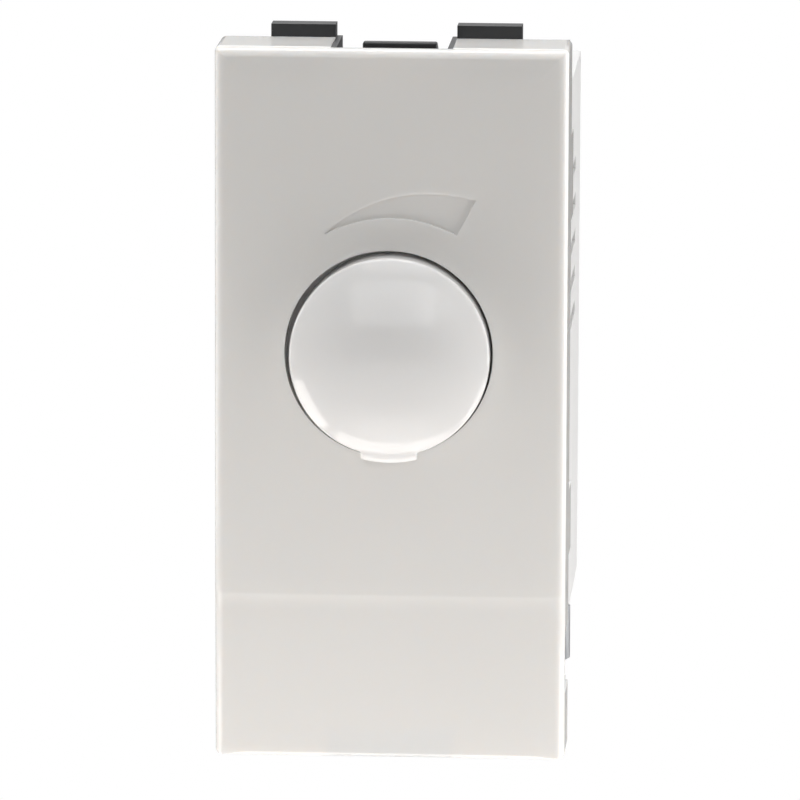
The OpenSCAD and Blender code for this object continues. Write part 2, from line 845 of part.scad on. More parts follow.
module resistors() {
    color("tan") {
        lead_bead(5.9, -4, 0.9, 3.6);
        lead_bead(-0.5, -1.9, 0.7, 2.8);
    }
}

front_cover();
knob();
clip_frame();
upper_latch();
lower_latch();
side_springs();
shaft();
bushing();
bushing_nut();
retaining_ring();
pot_can();
pot_base();
resistance_track();
wiper_disc();
wiper_spring();
pot_pins();
circuit_board();
rear_housing();
left_clamp();
centre_clamp();
right_clamp();
left_screw();
centre_screw();
right_screw();
terminal_tongues();
fuse_drawer();
fuse_glass();
fuse_caps();
fuse_wire();
front_fuse_clip();
rear_fuse_clip();
choke_core();
choke_winding();
film_capacitor();
trimmer_body();
trimmer_spindle();
triac_body();
triac_tab();
triac_legs();
heat_sink();
insulating_pad();
triac_screw();
timing_capacitor();
trigger_diode();
resistors();
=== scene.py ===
"""Looks of a one-module rotary dimmer insert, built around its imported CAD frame.

The shapes here are in millimetres and turn into metres as each mesh is made.
The face looks toward -Y, +X is right and +Z is up, as in the CAD model.
"""
import math

import bmesh
import bpy
from mathutils import Matrix, Vector


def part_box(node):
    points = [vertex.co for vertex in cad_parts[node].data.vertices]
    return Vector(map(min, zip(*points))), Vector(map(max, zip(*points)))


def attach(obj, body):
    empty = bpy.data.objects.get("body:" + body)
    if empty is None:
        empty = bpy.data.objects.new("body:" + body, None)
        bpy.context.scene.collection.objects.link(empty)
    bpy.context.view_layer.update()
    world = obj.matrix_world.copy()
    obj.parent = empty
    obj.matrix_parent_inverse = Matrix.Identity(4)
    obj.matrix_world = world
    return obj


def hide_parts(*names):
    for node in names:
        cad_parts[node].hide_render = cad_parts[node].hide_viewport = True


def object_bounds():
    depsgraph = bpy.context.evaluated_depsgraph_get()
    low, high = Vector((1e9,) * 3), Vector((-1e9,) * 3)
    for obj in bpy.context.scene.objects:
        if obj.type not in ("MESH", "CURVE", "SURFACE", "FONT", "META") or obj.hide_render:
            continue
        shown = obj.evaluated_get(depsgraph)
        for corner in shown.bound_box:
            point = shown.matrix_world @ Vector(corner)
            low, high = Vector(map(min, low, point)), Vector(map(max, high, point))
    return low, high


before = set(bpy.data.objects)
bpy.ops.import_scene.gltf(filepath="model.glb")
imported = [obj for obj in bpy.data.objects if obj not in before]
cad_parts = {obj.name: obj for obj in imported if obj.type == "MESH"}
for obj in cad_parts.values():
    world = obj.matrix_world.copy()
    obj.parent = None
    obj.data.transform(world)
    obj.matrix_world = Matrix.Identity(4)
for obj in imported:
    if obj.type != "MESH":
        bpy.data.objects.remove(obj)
cad_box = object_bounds()

MM = 0.001


def node_box(node):
    """Lowest and highest corner of a CAD node, in millimetres."""
    low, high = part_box(node)
    return low / MM, high / MM


# ---- Sizes, from the frame ----

cover_low, cover_high = node_box("front_cover")
knob_low, knob_high = node_box("knob")
board_low, board_high = node_box("circuit_board")

half_w = cover_high.x
half_h = cover_high.z
y_face = cover_low.y
leg_reach = cover_high.y
y_cover_back = -1.5
y_board_back = board_high.y

cover_wall = 1.4
front_t = 1.8
edge_r = 0.7
corner_r = 0.35
corner_steps = 6
y_plate_back = y_face + front_t
in_half_w = half_w - cover_wall
in_half_h = half_h - cover_wall
# The lower edge is rounded less deeply than the others
low_edge_share = 0.15
# The band below the crease leans back by band_lean at its foot. The crease bends softly, then dips.
band_h = 10.5
band_lean = 0.3
crease_z = band_h - half_h
crease_soft = 0.42
crease_dip = 0.11
crease_fade = 0.9
bend_points = 18
# The last stretch of the face before its rounded edge curves back a little
roll_drop = 0.1
roll_w = 1.6
roll_steps = 8

knob_r = 6.25
y_apex = knob_low.y
y_knob_back = knob_high.y
flange_r = knob_high.x
knob_z = knob_high.z - flange_r
y_rim = y_apex + 1.9
y_bore_end = y_rim - 0.15
dome_r = (knob_r ** 2 + (y_rim - y_apex) ** 2) / (2 * (y_rim - y_apex))
hole_r = flange_r - 0.8
# The hole sits a little left of the knob's axis and above it, as the gap in the photograph does
hole_shift = -0.1
hole_rise = 0.06
flange_t = 0.85
skirt_t = 1.0
boss_r = 4.4
bore_r = 3.02
shaft_flat = 1.52
nib_w = 3.5
nib_proud = 0.42

# Each small part on the board: x, z, radius and length of its body
resistors = [(5.9, -4, 0.9, 3.6), (-0.5, -1.9, 0.7, 2.8)]
diode = (5, -1.6, 0.8, 3)
lead_r = 0.22
lead_reach = 0.7

# Where the colour inputs and the colour output sit on Blender's Mix node
MIX_FIRST, MIX_SECOND, MIX_RESULT = 6, 7, 2


# ---- Mesh helpers ----

def mesh_object(name, verts, faces):
    """A mesh object from points in millimetres."""
    mesh = bpy.data.meshes.new(name)
    mesh.from_pydata([Vector(v) * MM for v in verts], [], faces)
    bm = bmesh.new()
    bm.from_mesh(mesh)
    bmesh.ops.remove_doubles(bm, verts=bm.verts, dist=0.0005 * MM)
    bmesh.ops.dissolve_degenerate(bm, edges=bm.edges, dist=0.0005 * MM)
    bmesh.ops.recalc_face_normals(bm, faces=bm.faces)
    bm.to_mesh(mesh)
    bm.free()
    mesh.shade_smooth()
    obj = bpy.data.objects.new(name, mesh)
    bpy.context.scene.collection.objects.link(obj)
    return obj


def skin(loops, ring=False):
    """Points and faces over loops of equal length, closed with end caps or run round into a ring."""
    n = len(loops[0])
    verts = [p for loop in loops for p in loop]
    faces = []
    for i in range(len(loops) if ring else len(loops) - 1):
        a, b = i * n, ((i + 1) % len(loops)) * n
        faces += [(a + k, a + (k + 1) % n, b + (k + 1) % n, b + k) for k in range(n)]
    if not ring:
        faces.append(tuple(range(n)))
        faces.append(tuple((len(loops) - 1) * n + k for k in range(n)))
    return verts, faces


def joined(name, parts):
    """One mesh object from several sets of points and faces."""
    verts, faces = [], []
    for part_verts, part_faces in parts:
        start = len(verts)
        verts += part_verts
        faces += [tuple(i + start for i in face) for face in part_faces]
    return mesh_object(name, verts, faces)


def lofted(name, loops, ring=False):
    """One mesh object skinned over loops."""
    return joined(name, [skin(loops, ring)])


def tube(path, radius, sides=10):
    """Skin of a wire along a path, its rings turned as little as possible."""
    points = [Vector(p) for p in path]
    last = len(points) - 1
    loops = []
    across = None
    for i, p in enumerate(points):
        along = (points[min(i + 1, last)] - points[max(i - 1, 0)]).normalized()
        across = along.orthogonal() if across is None else across - along * across.dot(along)
        across.normalize()
        other = along.cross(across)
        turns = [math.tau * k / sides for k in range(sides)]
        loops.append([p + radius * (math.cos(t) * across + math.sin(t) * other) for t in turns])
    return skin(loops)


def turned_x(profile, y, z, sides=32):
    """Skin of a solid turned about a line along X, from an outline of (radius, x)."""
    loops = []
    for r, x in profile:
        turns = [math.tau * k / sides for k in range(sides)]
        loops.append([(x, y + r * math.cos(t), z + r * math.sin(t)) for t in turns])
    return skin(loops)


def turned_y(profile, x, z, sides=32):
    """Skin of a solid turned about a line along Y, from an outline of (radius, y)."""
    loops = []
    for r, y in profile:
        turns = [math.tau * k / sides for k in range(sides)]
        loops.append([(x + r * math.cos(t), y, z + r * math.sin(t)) for t in turns])
    return skin(loops)


def eased(points, radius, steps=5):
    """A path with its inner corners rounded."""
    out = [Vector(points[0])]
    for before, corner, after in zip(points, points[1:], points[2:]):
        corner = Vector(corner)
        u = (Vector(before) - corner)
        v = (Vector(after) - corner)
        reach = min(radius, u.length * 0.49, v.length * 0.49)
        a, b = corner + u.normalized() * reach, corner + v.normalized() * reach
        for i in range(steps + 1):
            t = i / steps
            out.append(a * (1 - t) ** 2 + corner * 2 * t * (1 - t) + b * t * t)
    out.append(Vector(points[-1]))
    return out


def prism(name, outline, low, high, axis="y"):
    """An outline drawn out along an axis. Its points are given in the other two axes' order."""
    place = {
        "y": lambda p, t: (p[0], t, p[1]),
        "z": lambda p, t: (p[0], p[1], t),
    }[axis]
    return lofted(name, [[place(p, t) for p in outline] for t in (low, high)])


def brick(name, x, y, z):
    """A box between two places on each axis."""
    outline = [(x[0], z[0]), (x[1], z[0]), (x[1], z[1]), (x[0], z[1])]
    return prism(name, outline, y[0], y[1])


def arc(centre, radius, start, end, steps):
    """Points on an arc, angles in degrees."""
    angles = [math.radians(start + (end - start) * i / steps) for i in range(steps + 1)]
    return [(centre[0] + radius * math.cos(a), centre[1] + radius * math.sin(a)) for a in angles]


def apply_modifiers(obj):
    """Turns an object's modifiers into its mesh."""
    graph = bpy.context.evaluated_depsgraph_get()
    mesh = bpy.data.meshes.new_from_object(obj.evaluated_get(graph))
    old = obj.data
    obj.modifiers.clear()
    obj.data = mesh
    bpy.data.meshes.remove(old)


def combine(obj, tools, operation="DIFFERENCE"):
    """Cuts tools out of an object, or joins them to it."""
    for tool in tools:
        mod = obj.modifiers.new("cut", "BOOLEAN")
        mod.operation = operation
        mod.solver = "EXACT"
        mod.object = tool
    apply_modifiers(obj)
    for tool in tools:
        bpy.data.objects.remove(tool)


def smooth_group():
    """Node group that shades every face smooth, for use as a modifier."""
    name = "shade_smooth"
    if name in bpy.data.node_groups:
        return bpy.data.node_groups[name]
    group = bpy.data.node_groups.new(name, "GeometryNodeTree")
    group.interface.new_socket("Geometry", in_out="INPUT", socket_type="NodeSocketGeometry")
    group.interface.new_socket("Geometry", in_out="OUTPUT", socket_type="NodeSocketGeometry")
    start = group.nodes.new("NodeGroupInput")
    smooth = group.nodes.new("GeometryNodeSetShadeSmooth")
    end = group.nodes.new("NodeGroupOutput")
    group.links.new(start.outputs[0], smooth.inputs["Geometry"])
    group.links.new(smooth.outputs["Geometry"], end.inputs[0])
    return group


def round_edges(obj, width, segments=3, limit=30):
    """Small radius on every edge sharper than the limit, with clean shading."""
    bevel = obj.modifiers.new("edges", "BEVEL")
    bevel.width = width * MM
    bevel.segments = segments
    bevel.limit_method = "ANGLE"
    bevel.angle_limit = math.radians(limit)
    bevel.miter_outer = "MITER_ARC"
    smooth = obj.modifiers.new("smooth", "NODES")
    smooth.node_group = smooth_group()
    normals = obj.modifiers.new("normals", "WEIGHTED_NORMAL")
    normals.weight = 60
    normals.keep_sharp = True


def clean_facets(obj):
    """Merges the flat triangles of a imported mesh, so its edges can be rounded."""
    weld = obj.modifiers.new("weld", "WELD")
    weld.merge_threshold = 0.0005 * MM
    flat = obj.modifiers.new("flat", "DECIMATE")
    flat.decimate_type = "DISSOLVE"
    flat.angle_limit = math.radians(0.5)


# ---- Materials ----

def shader(name, **values):
    """A material and its Principled shader, with constants on the shader's own sockets."""
    mat = bpy.data.materials.new(name)
    mat.use_nodes = True
    bsdf = mat.node_tree.nodes["Principled BSDF"]
    for socket, value in values.items():
        bsdf.inputs[socket.replace("_", " ")].default_value = value
    return mat, bsdf


def node(mat, kind, **values):
    """A new node, with values for its sockets or, where it has no such socket, its own settings."""
    made = mat.node_tree.nodes.new(kind)
    for key, value in values.items():
        if key in made.inputs:
            made.inputs[key].default_value = value
        else:
            setattr(made, key, value)
    return made


def link(mat, out, into):
    """Joins an output to an input."""
    mat.node_tree.links.new(out, into)


def coords(mat, stretch=(1, 1, 1)):
    """Object coordinates in millimetres."""
    source = node(mat, "ShaderNodeTexCoord")
    scale = node(mat, "ShaderNodeMapping")
    scale.inputs["Scale"].default_value = [s / MM for s in stretch]
    link(mat, source.outputs["Object"], scale.inputs["Vector"])
    return scale.outputs["Vector"]


def noise(mat, vector, scale, detail=3.0, rough=0.55):
    """A noise pattern, from 0 to 1."""
    made = node(mat, "ShaderNodeTexNoise", Scale=scale, Detail=detail, Roughness=rough)
    link(mat, vector, made.inputs["Vector"])
    return made.outputs["Fac"]


def span(mat, value, low, high):
    """Maps a 0-1 value onto a range."""
    made = node(mat, "ShaderNodeMapRange")
    made.inputs["To Min"].default_value = low
    made.inputs["To Max"].default_value = high
    link(mat, value, made.inputs["Value"])
    return made.outputs["Result"]


def blend_colour(mat, value, first, second):
    """Mixes two colours by a 0-1 value."""
    made = node(mat, "ShaderNodeMix", data_type="RGBA")
    link(mat, value, made.inputs["Factor"])
    made.inputs[MIX_FIRST].default_value = (*first, 1)
    made.inputs[MIX_SECOND].default_value = (*second, 1)
    return made.outputs[MIX_RESULT]


def bump(mat, bsdf, heights):
    """Chains of (height, depth in millimetres) into the shader's normal."""
    last = None
    for height, depth in heights:
        made = node(mat, "ShaderNodeBump")
        made.inputs["Distance"].default_value = depth * MM
        link(mat, height, made.inputs["Height"])
        if last:
            link(mat, last, made.inputs["Normal"])
        last = made.outputs["Normal"]
    link(mat, last, bsdf.inputs["Normal"])


def plastic(name, colour, shade, roughness, grain=0.3, depth=0.0006, glow=0.0, glow_mm=0.6):
    """Moulded plastic: slight colour drift, uneven gloss and a fine skin texture."""
    mat, bsdf = shader(name, IOR=1.5)
    place = coords(mat)
    drift = noise(mat, place, 0.12, 2.0)
    link(mat, blend_colour(mat, drift, colour, shade), bsdf.inputs["Base Color"])
    gloss = noise(mat, place, 0.9, 4.0)
    link(mat, span(mat, gloss, roughness * 0.85, roughness * 1.15), bsdf.inputs["Roughness"])
    skin_grain = noise(mat, place, 1 / grain, 2.0)
    waviness = noise(mat, place, 0.35, 1.0)
    bump(mat, bsdf, [(skin_grain, depth), (waviness, depth * 4)])
    if glow:
        bsdf.inputs["Subsurface Weight"].default_value = glow
        bsdf.inputs["Subsurface Radius"].default_value = (1.0, 0.92, 0.85)
        bsdf.inputs["Subsurface Scale"].default_value = glow_mm * MM
    return mat


def metal(name, colour, shade, roughness, brush=(1, 1, 1), depth=0.001):
    """Metal with a worked surface: brushed or drawn along one axis."""
    mat, bsdf = shader(name, Metallic=1.0)
    place = coords(mat)
    lines = noise(mat, coords(mat, brush), 3.0, 5.0, 0.6)
    stain = noise(mat, place, 0.6, 4.0)
    link(mat, blend_colour(mat, stain, colour, shade), bsdf.inputs["Base Color"])
    link(mat, span(mat, lines, roughness * 0.7, roughness * 1.4), bsdf.inputs["Roughness"])
    bump(mat, bsdf, [(lines, depth)])
    return mat


def banded(mat, bsdf, bands, wide):
    """Paints rings of colour at places along X, in millimetres, over what the shader has now."""
    place = node(mat, "ShaderNodeTexCoord")
    split = node(mat, "ShaderNodeSeparateXYZ")
    link(mat, place.outputs["Object"], split.inputs[0])
    under = bsdf.inputs["Base Color"].links[0].from_socket
    for x, colour in bands:
        away = node(mat, "ShaderNodeMath", operation="SUBTRACT")
        link(mat, split.outputs["X"], away.inputs[0])
        away.inputs[1].default_value = x * MM
        size = node(mat, "ShaderNodeMath", operation="ABSOLUTE")
        link(mat, away.outputs[0], size.inputs[0])
        within = node(mat, "ShaderNodeMath", operation="LESS_THAN")
        link(mat, size.outputs[0], within.inputs[0])
        within.inputs[1].default_value = wide / 2 * MM
        over = node(mat, "ShaderNodeMix", data_type="RGBA")
        link(mat, within.outputs[0], over.inputs["Factor"])
        over.inputs[MIX_SECOND].default_value = (*colour, 1)
        link(mat, under, over.inputs[MIX_FIRST])
        under = over.outputs[MIX_RESULT]
    link(mat, under, bsdf.inputs["Base Color"])


def resistor_finish():
    """Beige lacquer with the colour code of each resistor's value."""
    mat = plastic("resistor_coat", (0.62, 0.48, 0.31), (0.56, 0.42, 0.26), 0.3)
    bsdf = mat.node_tree.nodes["Principled BSDF"]
    brown = (0.12, 0.04, 0.015)
    black = (0.01, 0.01, 0.01)
    red = (0.5, 0.02, 0.015)
    yellow = (0.7, 0.5, 0.02)
    violet = (0.15, 0.04, 0.3)
    gold = (0.5, 0.33, 0.08)
    large, small = resistors[0][0], resistors[1][0]
    bands = [(large - 1.3, yellow), (large - 0.7, violet), (large - 0.15, red), (large + 1.2, gold)]
    bands += [(small - 0.95, brown), (small - 0.5, black), (small - 0.05, yellow), (small + 0.9, gold)]
    banded(mat, bsdf, bands, 0.28)
    return mat


def diode_finish():
    """Blue lacquer with a black ring at one end."""
    mat = plastic("diode_glass", (0.08, 0.2, 0.55), (0.06, 0.16, 0.48), 0.12)
    ring_x = diode[0] - 0.9
    banded(mat, mat.node_tree.nodes["Principled BSDF"], [(ring_x, (0.01, 0.01, 0.01))], 0.4)
    return mat


def make_materials():
    """The finish of every slot, by name."""
    made = {
        "fuse_glass": shader("fuse_glass", Roughness=0.03, Transmission_Weight=1.0, IOR=1.47)[0],
        "resistor_coat": resistor_finish(),
        "diode_glass": diode_finish(),
    }
    # name: base colour, second colour, roughness, and what differs from the usual skin
    cover_skin = {"glow": 0.8, "glow_mm": 0.5}
    knob_skin = {"depth": 0.0003, "glow": 0.35, "glow_mm": 0.8}
    clip_skin = {"grain": 0.15, "depth": 0.002}
    housing_skin = {"grain": 0.12, "depth": 0.006}
    drawer_skin = {"grain": 0.12, "depth": 0.004}
    epoxy_skin = {"grain": 0.08, "depth": 0.003}
    plastics = {
        "cover_plastic": ((0.83, 0.818, 0.798), (0.81, 0.798, 0.778), 0.12, cover_skin),
        "knob_plastic": ((0.85, 0.843, 0.835), (0.83, 0.823, 0.815), 0.09, knob_skin),
        "clip_plastic": ((0.018, 0.019, 0.021), (0.024, 0.025, 0.027), 0.42, clip_skin),
        "housing_plastic": ((0.84, 0.837, 0.83), (0.81, 0.807, 0.80), 0.36, housing_skin),
        "drawer_plastic": ((0.30, 0.31, 0.32), (0.27, 0.28, 0.29), 0.4, drawer_skin),
        "shaft_plastic": ((0.78, 0.77, 0.72), (0.72, 0.71, 0.66), 0.35, {}),
        "phenolic": ((0.16, 0.07, 0.03), (0.20, 0.10, 0.045), 0.5, {}),
        "carbon_track": ((0.012, 0.012, 0.012), (0.03, 0.03, 0.03), 0.6, {}),
        "board": ((0.04, 0.13, 0.05), (0.05, 0.16, 0.06), 0.3, {}),
        "ferrite": ((0.02, 0.02, 0.022), (0.035, 0.035, 0.035), 0.5, {"depth": 0.004}),
        "film_case": ((0.72, 0.50, 0.08), (0.66, 0.45, 0.06), 0.3, {}),
        "trimmer_case": ((0.04, 0.14, 0.45), (0.05, 0.16, 0.5), 0.35, {}),
        "epoxy": ((0.016, 0.016, 0.017), (0.024, 0.024, 0.025), 0.45, epoxy_skin),
        "pad_rubber": ((0.30, 0.30, 0.32), (0.34, 0.34, 0.36), 0.7, {}),
    }
    for name, (colour, shade, roughness, rest) in plastics.items():
        made[name] = plastic(name, colour, shade, roughness, **rest)
    # name: base colour, second colour, roughness, and which way it was brushed
    metals = {
        "spring_steel": ((0.55, 0.56, 0.57), (0.48, 0.49, 0.50), 0.3, (6, 6, 0.6)),
        "brass": ((0.78, 0.56, 0.26), (0.66, 0.45, 0.20), 0.25, (5, 0.5, 5)),
        "tinned_steel": ((0.66, 0.66, 0.65), (0.56, 0.56, 0.56), 0.28, (1, 1, 1)),
        "zinc_steel": ((0.68, 0.69, 0.71), (0.58, 0.60, 0.63), 0.3, (1, 1, 1)),
        "enamelled_copper": ((0.78, 0.32, 0.12), (0.68, 0.25, 0.09), 0.2, (1, 1, 1)),
        "sink_aluminium": ((0.76, 0.76, 0.77), (0.68, 0.68, 0.69), 0.35, (6, 0.4, 6)),
    }
    for name, (colour, shade, roughness, brush) in metals.items():
        made[name] = metal(name, colour, shade, roughness, brush)
    return made


# ---- Cover ----

def lean(z):
    """How far back the face lies at a height. It dips softly at the crease and leans away below."""
    below = crease_z - z
    if below < -crease_soft:
        return 0.0
    slope = band_lean / (crease_z + half_h)
    if below < crease_soft:
        tilt = slope * (below + crease_soft) ** 2 / (4 * crease_soft)
    else:
        tilt = slope * below
    share = min(1.0, max(0.0, below) / crease_fade)
    return tilt + crease_dip * (1 - (1 - share) ** 2)


def cover_outline(inset):
    """Outline of the cover in X and Z, drawn in by an inset, with points where the crease bends."""
    w, h, low_h = half_w - inset, half_h - inset, half_h - inset * low_edge_share
    r = max(corner_r - inset, 0.02)
    reach = crease_soft + crease_fade
    bend = [crease_z + crease_soft - reach * i / (bend_points - 1) for i in range(bend_points)]
    points = arc((w - r, h - r), r, 90, 0, corner_steps)
    points += [(w, z) for z in bend]
    points += arc((w - r, r - low_h), r, 0, -90, corner_steps)
    points += arc((r - w, r - low_h), r, -90, -180, corner_steps)
    points += [(-w, z) for z in reversed(bend)]
    points += arc((r - w, h - r), r, 180, 90, corner_steps)
    return points


def cover_body():
    """The cover as a solid block: straight sides, rounded edges and a face that bends at the crease."""
    steps = 12
    loops = [[(x, y_cover_back, z) for x, z in cover_outline(0)]]
    for i in range(steps + 1):
        a = math.radians(90 * i / steps)
        y = y_face + roll_drop + edge_r * (1 - math.sin(a))
        loops.append([(x, y + lean(z), z) for x, z in cover_outline(edge_r * (1 - math.cos(a)))])
    for i in range(1, roll_steps + 1):
        share = i / roll_steps
        y = y_face + roll_drop * (1 - share) ** 2
        loops.append([(x, y + lean(z), z) for x, z in cover_outline(edge_r + roll_w * share)])
    n = len(loops[0])
    verts = [p for loop in loops for p in loop]
    faces = [tuple(range(n))]
    for i in range(len(loops) - 1):
        a, b = i * n, (i + 1) * n
        faces += [(a + k, a + (k + 1) % n, b + (k + 1) % n, b + k) for k in range(n)]
    front = (len(loops) - 1) * n
    bend_n, corner_n = bend_points, corner_steps + 1
    right = [front + corner_n + k for k in range(bend_n)]
    left = [front + n - 1 - corner_n - k for k in range(bend_n)]
    top = [front + k for k in range(corner_n)] + [right[0], left[0]]
    top += [front + n - corner_n + k for k in range(corner_n)]
    bottom = [front + corner_n + bend_n + k for k in range(2 * corner_n)]
    faces.append(tuple(top))
    faces += [(right[k], right[k + 1], left[k + 1], left[k]) for k in range(bend_n - 1)]
    faces.append(tuple([right[-1]] + bottom + [left[-1]]))
    return mesh_object("cover", verts, faces)


def mark_outline():
    """Wedge mark: an arc whose outer edge climbs away from the inner one."""
    inner_r, rise, half_angle, steps = knob_r + 2.35, 2.5, 28.5, 48

    def point(t, r):
        a = math.radians(half_angle * (2 * t - 1))
        return (r * math.sin(a), knob_z + r * math.cos(a))

    spread = [i / steps for i in range(steps + 1)]
    bottom = [point(t, inner_r) for t in spread]
    top = [point(t, inner_r + rise * t) for t in reversed(spread[1:])]
    return bottom + top


def front_cover():
    """The cover's block, with its cavity, hole, mark, notches and windows cut and its legs joined."""
    cover = cover_body()
    cut = [brick("cavity", (-in_half_w, in_half_w), (y_plate_back, 1), (-in_half_h, in_half_h))]
    hole_sides = 144
    hole = arc((hole_shift, knob_z + hole_rise), hole_r, 0, 360 - 360 / hole_sides, hole_sides - 1)
    cut.append(prism("hole", hole, y_face - 1, 1))
    mark_depth = 0.15
    cut.append(prism("mark", mark_outline(), y_face - 1, y_face + mark_depth))
    notch_x, notch_floor, notch_front = 3.8, half_h - 1.9, y_face + 0.6
    window_z, window_front = (-18.3, -14.5), y_face + 1
    for side in (-1, 1):
        z = sorted((side * notch_floor, side * (half_h + 1)))
        cut.append(brick("notch", (-notch_x, notch_x), (notch_front, 1), z))
        x = sorted((side * (in_half_w - 1), side * (half_w + 1)))
        cut.append(brick("window", x, (window_front, 1), window_z))
    combine(cover, cut)
    legs = []
    upper_leg, lower_leg = (13.8, 5.4), (-8.2, 4.2)
    outer, inner = half_w, half_w - 0.8
    y_root, y_hook, hook = y_cover_back - 0.5, -0.15, 0.35
    for side in (-1, 1):
        for middle, length in (upper_leg, lower_leg):
            outline = [
                (side * outer, y_root), (side * outer, leg_reach - 0.25),
                (side * (outer - 0.25), leg_reach), (side * (inner - 0.1), leg_reach),
                (side * (inner - hook), leg_reach - 0.5), (side * (inner - hook), y_hook),
                (side * inner, y_hook), (side * inner, y_root),
            ]
            legs.append(prism("leg", outline, middle - length / 2, middle + length / 2, "z"))
    combine(cover, legs, "UNION")
    cover.name = "cover_shell"
    round_edges(cover, 0.09)
    return cover


# ---- Knob ----

def knob_profile():
    """Outline of the knob as (radius, y, share of the nib's reach), from apex to shaft hole."""
    rim_r, dome_steps, rim_steps = 0.16, 30, 6
    tilt = math.asin((knob_r - rim_r) / dome_r)
    start_r = dome_r * math.sin(tilt)
    start_y = y_apex + dome_r * (1 - math.cos(tilt))
    # Between the dome's slope and the straight side, an arc that is tangent to both
    round_r = (knob_r - start_r) / (1 - math.sin(tilt))
    profile = []
    for i in range(1, dome_steps + 1):
        a = tilt * i / dome_steps
        profile.append((dome_r * math.sin(a), y_apex + dome_r * (1 - math.cos(a)), 0))
    for i in range(1, rim_steps + 1):
        a = tilt + (math.pi / 2 - tilt) * i / rim_steps
        r = start_r + round_r * (math.sin(a) - math.sin(tilt))
        y = start_y + round_r * (math.cos(tilt) - math.cos(a))
        profile.append((r, y, i / rim_steps))
    y_flange, y_roof = y_knob_back - flange_t, y_rim + 0.9
    y_nib = y_rim + 0.68
    profile += [(knob_r, y_nib, 1), (knob_r, y_nib, 0)]
    back = [
        (knob_r, y_flange), (flange_r, y_flange), (flange_r, y_knob_back),
        (knob_r - skirt_t, y_knob_back), (knob_r - skirt_t, y_roof), (boss_r, y_roof),
        (boss_r, y_knob_back), (bore_r, y_knob_back), (bore_r, y_bore_end),
    ]
    return profile + [(r, y, 0) for r, y in back]


def knob():
    """Domed cap with a pointer nib, hollow behind, with a D-shaped bore for the shaft."""
    nib_half = math.degrees(math.asin(nib_w / 2 / (knob_r + nib_proud)))
    # The nib's sides fall within a step of 1.2 degrees, and the even steps keep clear of them
    side, clear, steps = 1.2, 1.3, 180
    turns = [-90 - nib_half - side, -90 - nib_half, -90 + nib_half, -90 + nib_half + side]
    even = [-270 + 360 * i / steps for i in range(steps)]
    turns += [a for a in even if all(abs(a - t) > clear for t in turns)]
    turns.sort()
    profile = knob_profile()
    inside = {a: abs(a + 90) < nib_half + 0.1 for a in turns}
    verts = []
    for a in turns:
        c, s = math.cos(math.radians(a)), math.sin(math.radians(a))
        for r, y, share in profile:
            reach = r + (nib_proud * share if inside[a] else 0)
            z = knob_z + reach * s
            if r == bore_r:
                z = min(z, knob_z + shaft_flat)
            verts.append((reach * c, y, z))
    n = len(profile)
    verts += [(0, y_apex, knob_z), (0, y_bore_end, knob_z)]
    faces = []
    for i in range(len(turns)):
        p, q = i * n, ((i + 1) % len(turns)) * n
        faces += [(p + k, p + k + 1, q + k + 1, q + k) for k in range(n - 1)]
        faces += [(len(verts) - 2, p, q), (len(verts) - 1, q + n - 1, p + n - 1)]
    body = mesh_object("knob_cap", verts, faces)
    round_edges(body, 0.08)
    return body


# ---- Metal and electrical detail ----

def stands_for(piece, body, slot, *nodes):
    """Makes a piece ride on a body, replace any named CAD nodes and take a slot's finish."""
    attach(piece, body)
    if nodes:
        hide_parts(*nodes)
    piece.data.materials.clear()
    piece.data.materials.append(materials[slot])
    return piece


def terminal_screw(name, node):
    """Slotted cheese-head screw with a rolled thread."""
    low, high = node_box(node)
    x, z = (low.x + high.x) / 2, (low.z + high.z) / 2
    head_r, head_t, slot_w, slot_d = (high.x - low.x) / 2, 1.9, 0.7, 0.9
    crest, root, pitch = 1.44, 1.2, 0.5
    y_head = high.y - head_t
    around, along = 32, 8
    steps = round((y_head - low.y) / pitch * along)
    loops = []
    for i in range(steps + 1):
        y = low.y + (y_head - low.y) * i / steps
        ease = min(1, (y - low.y) / 0.5, (y_head - y) / 0.4)
        loop = []
        for k in range(around):
            turn = k / around
            wave = abs(((y / pitch - turn) % 1) - 0.5) * 2
            r = root + (crest - root) * min(1, 1.3 * wave) * max(ease, 0)
            loop.append((x + r * math.cos(math.tau * turn), y, z + r * math.sin(math.tau * turn)))
        loops.append(loop)
    head = [
        (head_r - 0.12, y_head), (head_r, y_head + 0.12), (head_r, high.y - 0.35),
        (head_r - 0.1, high.y - 0.12), (head_r - 0.35, high.y),
    ]
    for r, y in head:
        turns = [math.tau * k / around for k in range(around)]
        loops.append([(x + r * math.cos(t), y, z + r * math.sin(t)) for t in turns])
    screw = lofted(name, loops)
    slot_y = (high.y - slot_d, high.y + 1)
    combine(screw, [brick("slot", (x - 3, x + 3), slot_y, (z - slot_w / 2, z + slot_w / 2))])
    round_edges(screw, 0.04, 2, 40)
    return stands_for(screw, node.replace("_screw", "_terminal_screw"), "zinc_steel", node)


